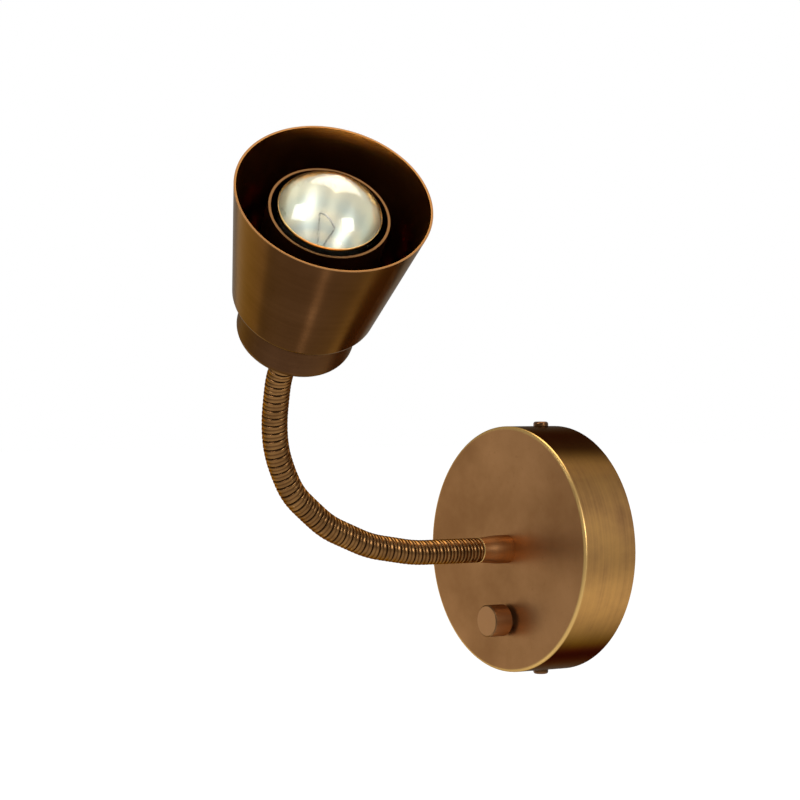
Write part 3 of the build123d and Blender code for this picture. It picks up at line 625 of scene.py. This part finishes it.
def turned_tube(name, strips, pitch, turns, steps):
    """A tube about Z from profile strips of (radius, way along) points, wound up by the pitch."""
    mesh = bpy.data.meshes.new(name)
    build = bmesh.new()
    for strip in strips:
        made = [build.verts.new((radius, 0, way)) for radius, way in strip]
        for first, second in zip(made, made[1:]):
            build.edges.new((first, second))
    build.to_mesh(mesh)
    build.free()
    tube = bpy.data.objects.new(name, mesh)
    bpy.context.collection.objects.link(tube)
    only(tube)
    screw = tube.modifiers.new("screw", "SCREW")
    screw.steps = steps
    screw.render_steps = steps
    screw.iterations = turns
    screw.screw_offset = pitch
    screw.use_merge_vertices = False
    bpy.ops.object.modifier_apply(modifier="screw")
    bpy.ops.object.mode_set(mode="EDIT")
    bpy.ops.mesh.select_all(action="SELECT")
    bpy.ops.mesh.remove_doubles(threshold=pitch * 0.001)
    bpy.ops.object.mode_set(mode="OBJECT")
    return tube


def close_end(obj, height):
    """Bridge the inner and outer open edges that lie at a height."""
    bpy.ops.object.mode_set(mode="EDIT")
    bpy.ops.mesh.select_all(action="DESELECT")
    bpy.ops.mesh.select_mode(type="EDGE")
    build = bmesh.from_edit_mesh(obj.data)
    for edge in build.edges:
        if edge.is_boundary and all(abs(v.co.z - height) < 1e-6 for v in edge.verts):
            edge.select = True
    bmesh.update_edit_mesh(obj.data)
    bpy.ops.mesh.bridge_edge_loops()
    bpy.ops.object.mode_set(mode="OBJECT")


def fill_ends(obj):
    """Fill both open ends of a plain tube."""
    only(obj)
    bpy.ops.object.mode_set(mode="EDIT")
    bpy.ops.mesh.select_all(action="SELECT")
    bpy.ops.mesh.fill_holes(sides=0)
    bpy.ops.object.mode_set(mode="OBJECT")


def section(tube, name, low, high, curve, hollow):
    """The part of a straight tube between two heights, bent along the curve."""
    piece = tube.copy()
    piece.data = tube.data.copy()
    piece.name = name
    bpy.context.collection.objects.link(piece)
    only(piece)
    bpy.ops.object.mode_set(mode="EDIT")
    for height, side in ((low, "clear_inner"), (high, "clear_outer")):
        bpy.ops.mesh.select_all(action="SELECT")
        bpy.ops.mesh.bisect(plane_co=(0, 0, height), plane_no=(0, 0, 1), threshold=1e-7,
                            use_fill=not hollow, **{side: True})
    bpy.ops.object.mode_set(mode="OBJECT")
    if hollow:
        close_end(piece, low)
        close_end(piece, high)
    bpy.ops.object.mode_set(mode="EDIT")
    bpy.ops.mesh.select_all(action="SELECT")
    bpy.ops.mesh.normals_make_consistent(inside=False)
    bpy.ops.object.mode_set(mode="OBJECT")
    bend = piece.modifiers.new("bend", "CURVE")
    bend.object = curve
    bend.deform_axis = "POS_Z"
    bpy.ops.object.modifier_apply(modifier="bend")
    bpy.ops.object.shade_smooth()
    return piece


def across_hinges(tube, name, start, points, curve, hollow, material, last):
    """Cut a tube into pieces that each cross one hinge, and attach the end pieces to the arm's first and
    last bodies.
    """
    heights = [0.0]
    for _, _, length in points:
        heights.append(heights[-1] + length)
    first_half = 4  # the route's point in the middle of the first stretch
    count = len(HINGES)
    cuts = [start, *heights[first_half:first_half + count + 1], last]
    bodies = [HINGES[0]["parent"], *[hinge["child"] for hinge in HINGES]]
    made = []
    for number, (low, high) in enumerate(zip(cuts, cuts[1:])):
        piece = section(tube, f"{name}_{number:02d}", low, high, curve, hollow)
        piece.data.materials.clear()
        piece.data.materials.append(material)
        if 0 < number <= count:
            here = points[first_half + number - 1][0]
            there = points[first_half + number][0]
            bodies[number - 1]
            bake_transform(piece)
        else:
            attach(piece, bodies[0] if number == 0 else bodies[-1])
        made.append(piece)
    bpy.data.objects.remove(tube)
    return made


class LAMP_OT_arm(bpy.types.Operator):
    """Wind the flexible arm and lay the cable in it"""

    bl_idname = "lamp.arm"
    bl_label = "Wind the arm"

    def execute(self, context):
        arm = context.scene.lamp_arm
        points = route()
        curve = route_curve(points)
        arm_from = sum(length for _, _, length in points[:3])
        arm_to = sum(length for _, _, length in points[:-2])
        pitch = (arm_to - arm_from) / arm.turns
        profile = []
        for step in range(PROFILE_STEPS + 1):
            share = step / PROFILE_STEPS
            groove = exp(-(min(share, 1 - share) / GROOVE_SHARE) ** 2)
            valley = exp(-((share - 0.5) / VALLEY_SHARE) ** 2)
            crown = CROWN * (1 + cos(4 * pi * share)) / 2
            depth = arm.groove * (groove + crown) + arm.valley * valley
            profile.append((arm.radius - depth, arm_from - SPARE_TURNS * pitch + share * pitch))
        inner = [(arm.bore, profile[0][1]), (arm.bore, profile[-1][1])]
        winding = turned_tube("winding", [profile, inner], pitch,
                              arm.turns + 2 * SPARE_TURNS, ARM_STEPS)
        depths = winding.data.attributes.new("depth", "FLOAT", "POINT")
        for number, vertex in enumerate(winding.data.vertices):
            distance = vertex.co.xy.length
            level = (arm.radius - distance) / arm.groove if distance > arm.radius * 0.7 else 1.0
            depths.data[number].value = level
        made = across_hinges(winding, "arm_winding", arm_from, points, curve, True,
                             arm_bronze("arm_bronze", context.scene.lamp_finishes),
                             arm_to)
        for number, piece in enumerate(made[:-1], start=1):
            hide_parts(f"arm_stretch_{number:02d}")

        total = sum(length for _, _, length in points)
        count = int(total / CABLE_STEP) + 1
        line = [(arm.cable, number * total / count) for number in range(count + 1)]
        sheath = turned_tube("sheath", [line], 0.0, 1, CABLE_STEPS)
        fill_ends(sheath)
        laid = across_hinges(sheath, "cable", CABLE_TRIM, points, curve, False,
                             frame["nodes"]["arm_cable"].data.materials[0],
                             total - CABLE_TRIM)
        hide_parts("arm_cable")
        bpy.data.objects.remove(curve)
        return {"FINISHED"}


# ---- Bulb -------------------------------------------------------------------------------
def arc_points(first, through, last, steps):
    """Points along the circle arc through three (radius, way) points, both ends included."""
    (ax, ay), (bx, by), (cx, cy) = first, through, last
    scale = 2 * (ax * (by - cy) + bx * (cy - ay) + cx * (ay - by))
    squares = [x * x + y * y for x, y in (first, through, last)]
    mid_x = (squares[0] * (by - cy) + squares[1] * (cy - ay) + squares[2] * (ay - by)) / scale
    mid_y = (squares[0] * (cx - bx) + squares[1] * (ax - cx) + squares[2] * (bx - ax)) / scale
    radius = ((ax - mid_x) ** 2 + (ay - mid_y) ** 2) ** 0.5
    start = atan2(ay - mid_y, ax - mid_x)
    turn = atan2(cy - mid_y, cx - mid_x) - start
    turn = (turn + pi) % (2 * pi) - pi
    return [(mid_x + radius * cos(start + turn * step / steps),
             mid_y + radius * sin(start + turn * step / steps)) for step in range(steps + 1)]


def bulb_profile(inset, low=BULB_FLOOR, high=WIDEST[1] + DOME):
    """The bulb's half outline, drawn in by the inset, between two heights up the head's axis."""
    neck = arc_points(*[(r - inset, way) for r, way in THROAT], THROAT_STEPS)
    radius, dome = WIDEST[0] - inset, DOME - inset
    bowl = arc_points(neck[-1], (BOWL[0] - inset, BOWL[1]), (radius, WIDEST[1]), BOWL_STEPS)
    dome_r = (radius ** 2 + dome ** 2) / (2 * dome)
    edge = asin(radius / dome_r)
    top = WIDEST[1] + dome
    angles = [edge * (1 - step / BOWL_STEPS) for step in range(1, BOWL_STEPS)]
    crown = [(dome_r * sin(angle), top - dome_r * (1 - cos(angle))) for angle in angles]
    foot = [(0, BULB_FLOOR + inset), (NECK_R - inset, BULB_FLOOR + inset), (NECK_R - inset, NECK_TOP),
            (SHOULDER[0] - inset, SHOULDER[1])]
    outline = [*foot, *neck, *bowl[1:], *crown, (0, top)]
    return [(r * MM, way * MM) for r, way in outline if low <= way <= high]


def turned_shell(name, profile, thickness, material):
    """A thin turned wall about the head's axis, thickened inwards."""
    shell = turned_tube(name, [profile], 0.0, 1, BULB_STEPS)
    bpy.ops.object.mode_set(mode="EDIT")
    bpy.ops.mesh.select_all(action="SELECT")
    bpy.ops.mesh.normals_make_consistent(inside=False)
    bpy.ops.object.mode_set(mode="OBJECT")
    wall = shell.modifiers.new("wall", "SOLIDIFY")
    wall.thickness = thickness
    wall.offset = -1
    bpy.ops.object.modifier_apply(modifier="wall")
    bpy.ops.object.shade_smooth()
    turn = HEAD_AXIS.to_track_quat("Z", "Y").to_matrix().to_4x4()
    shell.data.transform(Matrix.Translation(ARM_END) @ turn)
    shell.data.materials.clear()
    shell.data.materials.append(material)
    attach(shell, "head")
    return shell


class LAMP_OT_bulb(bpy.types.Operator):
    """Blow the bulb's glass and silver the inside of its bowl"""

    bl_idname = "lamp.bulb"
    bl_label = "Make the bulb"

    def execute(self, context):
        glass = turned_shell("bulb_envelope", bulb_profile(0.0), GLASS_WALL,
                             frame["nodes"]["bulb_glass"].data.materials[0])
        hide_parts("bulb_glass")
        mirror = turned_shell("bulb_mirror", bulb_profile(SILVER_INSET, *SILVER_RANGE), SILVER_WALL,
                              frame["nodes"]["bulb_reflector"].data.materials[0])
        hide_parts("bulb_reflector")
        return {"FINISHED"}


# ---- Floor, lights and camera -----------------------------------------------------------
FLOOR_GLOW = 1.25
FLOOR_GLOW_SHARE = 0.78
WORLD_LIGHT = 0.45
LIGHTS = (  # name, place, size, power, colour
    ("key", (0.2, -1.5, 1.0), 0.7, 12.0, (1, 1, 1)),
    ("side", (1.6, 0.1, 0.5), 0.6, 8.0, (1, 1, 1)),
    ("top", (-0.08, 0.28, 1.25), 0.9, 11.0, (1, 0.87, 0.70)),
    ("low_left", (-0.9, -0.35, -0.15), 0.6, 0.9, (1, 0.97, 0.92)),
    ("low_strip", (-0.085, -0.165, -0.335), 0.04, 0.02, (1, 1, 1)),
    ("low_back", (-0.096, 0.198, -0.264), 0.2, 0.06, (1, 1, 1)),
)


class LAMP_OT_stage(bpy.types.Operator):
    """Set up the floor, the lights and the camera"""

    bl_idname = "lamp.stage"
    bl_label = "Set the stage"

    def execute(self, context):
        stage = context.scene.lamp_stage
        scene = context.scene
        bpy.ops.mesh.primitive_plane_add(size=60, location=(0, 0, -stage.floor_drop))
        floor = context.object
        floor.name = "floor"
        floor.data.materials.append(self.floor_material())
        self.world(scene)
        self.lights()
        bpy.ops.object.camera_add(location=stage.camera_place)
        camera = context.object
        azimuth = stage.camera_azimuth
        look = Vector((-1, 0, 0))
        look.rotate(Matrix.Rotation(-(pi / 2 - azimuth), 3, "Z"))
        camera.rotation_euler = look.to_track_quat("-Z", "Y").to_euler()
        camera.data.lens = stage.lens
        camera.data.sensor_width = 36
        camera.data.clip_start = 0.01
        scene.camera = camera
        scene.view_settings.view_transform = "Standard"
        return {"FINISHED"}

    def floor_material(self):
        """A pale floor that the camera sees as nearly white, with a faint shadow."""
        finish = Finish("floor", Base_Color=(0.86, 0.86, 0.85, 1), Roughness=0.9)
        seen = finish.node("ShaderNodeLightPath", out="Is Camera Ray")
        glow = finish.node("ShaderNodeEmission", {"Strength": FLOOR_GLOW})
        lit = finish.node("ShaderNodeMixShader", {0: seen * FLOOR_GLOW_SHARE, 1: finish.shader, 2: glow})
        finish.show(lit, "Material Output")
        return finish.material

    def world(self, scene):
        """Plain grey light from all round, seen as white straight from the camera or through glass."""
        world = bpy.data.worlds.new("studio")
        scene.world = world
        world.use_nodes = True
        sky = Nodes(world.node_tree)
        soft = sky.own("Background", Color=(1, 1, 1, 1), Strength=WORLD_LIGHT)
        white = sky.node("ShaderNodeBackground", {"Color": (1, 1, 1, 1), "Strength": 1.0})
        straight = sky.node("ShaderNodeLightPath", out="Is Camera Ray")
        through = sky.node("ShaderNodeLightPath", out="Is Transmission Ray")
        seen = straight.math("MAXIMUM", straight, through)
        sky.show(sky.node("ShaderNodeMixShader", {0: seen, 1: soft, 2: white}), "World Output")

    def lights(self):
        """Soft lamps in front, at the side and above, and three weak ones for reflections from below."""
        target = Vector((0.03, -0.12, 0.06))
        for name, place, size, power, colour in LIGHTS:
            bpy.ops.object.light_add(type="AREA", location=place)
            lamp = bpy.context.object
            lamp.name = f"{name}_light"
            lamp.data.size = size
            lamp.data.energy = power
            lamp.data.color = colour
            lamp.rotation_euler = (target - Vector(place)).to_track_quat("-Z", "Y").to_euler()


# ---- Panel and registration -------------------------------------------------------------
class LAMP_PT_panel(bpy.types.Panel):
    """The lamp's steps, in order"""

    bl_idname = "LAMP_PT_panel"
    bl_label = "Wall reading lamp"
    bl_space_type = "VIEW_3D"
    bl_region_type = "UI"
    bl_category = "Lamp"

    def draw(self, context):
        layout = self.layout
        for group, operators in ((context.scene.lamp_finishes, ("lamp.finishes", "lamp.bulb")),
                                 (context.scene.lamp_arm, ("lamp.arm",)),
                                 (context.scene.lamp_stage, ("lamp.stage",))):
            for name in group.bl_rna.properties.keys():
                if name not in ("rna_type", "name"):
                    layout.prop(group, name)
            for operator in operators:
                layout.operator(operator)


SETTINGS = {
    "lamp_arm": LampArmSettings,
    "lamp_finishes": LampFinishSettings,
    "lamp_stage": LampStageSettings,
}
CLASSES = (*SETTINGS.values(), LAMP_OT_finishes, LAMP_OT_arm, LAMP_OT_bulb, LAMP_OT_stage,
           LAMP_PT_panel)


def register():
    for entry in CLASSES:
        bpy.utils.register_class(entry)
    for name, group in SETTINGS.items():
        setattr(bpy.types.Scene, name, bpy.props.PointerProperty(type=group))


def unregister():
    for name in SETTINGS:
        delattr(bpy.types.Scene, name)
    for entry in reversed(CLASSES):
        bpy.utils.unregister_class(entry)


def main():
    """Build the lamp's looks step by step."""
    register()
    bpy.ops.object.select_all(action="DESELECT")
    bpy.ops.lamp.finishes()
    bpy.ops.lamp.arm()
    bpy.ops.lamp.bulb()
    bpy.ops.lamp.stage()


if __name__ == "__main__":
    main()
